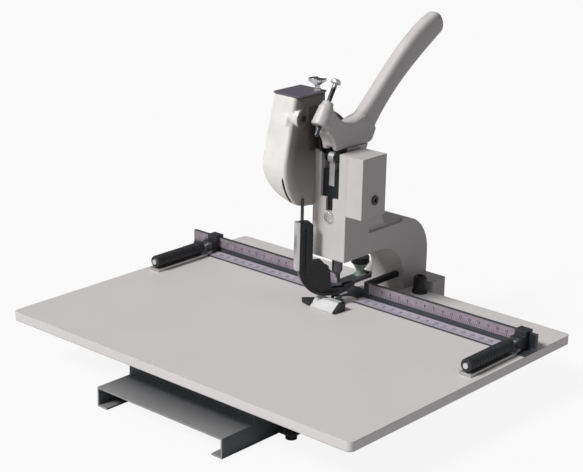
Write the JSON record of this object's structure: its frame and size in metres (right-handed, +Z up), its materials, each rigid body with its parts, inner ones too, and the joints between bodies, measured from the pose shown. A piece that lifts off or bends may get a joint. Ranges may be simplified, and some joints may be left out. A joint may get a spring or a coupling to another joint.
{
  "type": "eyelet machine",
  "caption": "Bench eyelet press with a curved hand lever, side hopper, swinging raceway and a wide table with a scaled fence and sliding side stops.",
  "frame": {"origin": "centre of the rear foot's flat underside, on the bench", "axes": "+X to the operator's right, +Y away from the operator, +Z up"},
  "size_m": [0.418, 0.3734, 0.3119],
  "materials": {
    "table_enamel": "satin warm light-grey enamel",
    "enamel": "satin warm light-grey enamel",
    "dark_steel": "oiled dark steel",
    "sheet": "satin grey enamel on sheet",
    "rubber": "matt black rubber",
    "steel": "ground steel",
    "black_steel": "blackened steel, satin",
    "rail": "anodised aluminium",
    "scale_pink": "printed aluminium strip",
    "scale_pale": "printed aluminium strip",
    "grip_plastic": "ribbed black plastic",
    "bright": "bright plated steel",
    "cast_hopper": "satin off-white enamel over a casting",
    "violet_steel": "blued steel sheet",
    "bristle": "brown bristle"
  },
  "bodies": {
    "frame": {"table": "table_enamel", "c_frame": "enamel", "rear_foot": "enamel", "foot_bolts": "dark_steel", "front_stand": "sheet", "rubber_feet": "rubber", "table_screws": "steel", "table_bolt": "black_steel", "table_nut": "dark_steel", "knob_stud": "steel", "side_cover": "enamel", "cover_screw": "dark_steel", "spring_anchor": "steel", "return_spring": "steel", "gib_screw": "bright", "anvil_post": "dark_steel", "die": "steel", "paper_guide": "bright", "guide_cheeks": "black_steel", "pivot_pin": "steel", "hopper_body": "cast_hopper", "hopper_screws": "dark_steel", "raceway_pin": "dark_steel"},
    "lever_body": {"lever": "enamel", "lever_crank": "black_steel", "crank_pin": "bright"},
    "ram_body": {"ram": "black_steel", "ram_yoke": "bright", "punch": "steel", "cross_pin": "steel"},
    "brush_body": {"brush": "bristle", "brush_shaft": "steel", "brush_wheel": "black_steel"},
    "raceway_body": {"raceway": "black_steel", "raceway_cover": "bright"},
    "lid": {"hopper_lid": "violet_steel"},
    "lid_screw": {"thumb_screw": "bright"},
    "setting_screw": {"adjusting_screw": "bright"},
    "fence": {"fence_rail": "rail", "upper_scale": "scale_pink", "lower_scale": "scale_pale", "fence_cap": "dark_steel", "depth_bar": "black_steel"},
    "fence_knob": {"depth_knob": "dark_steel"},
    "left_stop": {"stop_slide_left": "steel", "stop_blade_left": "steel"},
    "left_grip": {"stop_grip_left": "grip_plastic", "stop_spindle_left": "bright"},
    "right_stop": {"stop_slide_right": "steel", "stop_blade_right": "steel"},
    "right_grip": {"stop_grip_right": "grip_plastic", "stop_spindle_right": "bright"}
  },
  "joints": [
    {"name": "lever_pull", "type": "hinge", "parent": "frame", "child": "lever_body", "pos_m": [0, -0.10118, 0.1865], "axis": [1, 0, 0], "range_deg": [0, 60], "stiffness_Nm_per_rad": 0.8, "springref_deg": -17.19},
    {"name": "ram_slide", "type": "slide", "parent": "frame", "child": "ram_body", "axis": [0, 0, -1], "range_m": [0, 0.02], "deforming": ["return_spring"]},
    {"name": "brush_turn", "type": "hinge", "parent": "frame", "child": "brush_body", "pos_m": [0, -0.114, 0.2155], "axis": [1, 0, 0], "range_deg": [0, 90]},
    {"name": "raceway_swing", "type": "hinge", "parent": "frame", "child": "raceway_body", "pos_m": [-0.0175, -0.143, 0.1125], "axis": [0, 0, 1], "range_deg": [0, 20]},
    {"name": "lid_swing", "type": "hinge", "parent": "frame", "child": "lid", "pos_m": [-0.022, -0.121, 0.2535], "axis": [0, 0, -1], "range_deg": [0, 100]},
    {"name": "thumb_screw_turn", "type": "hinge", "parent": "frame", "child": "lid_screw", "pos_m": [-0.022, -0.121, 0.2535], "axis": [0, 0, 1], "continuous": true},
    {"name": "setting_screw_turn", "type": "hinge", "parent": "lever_body", "child": "setting_screw", "pos_m": [0, -0.1425, 0.229], "axis": [0, 0.5, 0.866], "continuous": true},
    {"name": "fence_depth", "type": "slide", "parent": "frame", "child": "fence", "axis": [0, -1, 0], "range_m": [0, 0.01]},
    {"name": "fence_knob_turn", "type": "hinge", "parent": "frame", "child": "fence_knob", "pos_m": [-0.031, -0.039, 0.0625], "axis": [0, 0, 1], "continuous": true},
    {"name": "left_stop_slide", "type": "slide", "parent": "fence", "child": "left_stop", "axis": [1, 0, 0], "range_m": [0, 0.14]},
    {"name": "left_grip_turn", "type": "hinge", "parent": "left_stop", "child": "left_grip", "pos_m": [-0.187, -0.132, 0.0617], "axis": [0, 1, 0], "continuous": true},
    {"name": "right_stop_slide", "type": "slide", "parent": "fence", "child": "right_stop", "axis": [-1, 0, 0], "range_m": [0, 0.14]},
    {"name": "right_grip_turn", "type": "hinge", "parent": "right_stop", "child": "right_grip", "pos_m": [0.187, -0.132, 0.0617], "axis": [0, 1, 0], "continuous": true}
  ],
  "couplings": [
    {"joint": "ram_slide", "follows": "lever_pull", "m_per_rad": 0.019099},
    {"joint": "brush_turn", "follows": "lever_pull", "ratio": 1.5},
    {"joint": "raceway_swing", "follows": "lever_pull", "ratio": 0.33333}
  ]
}
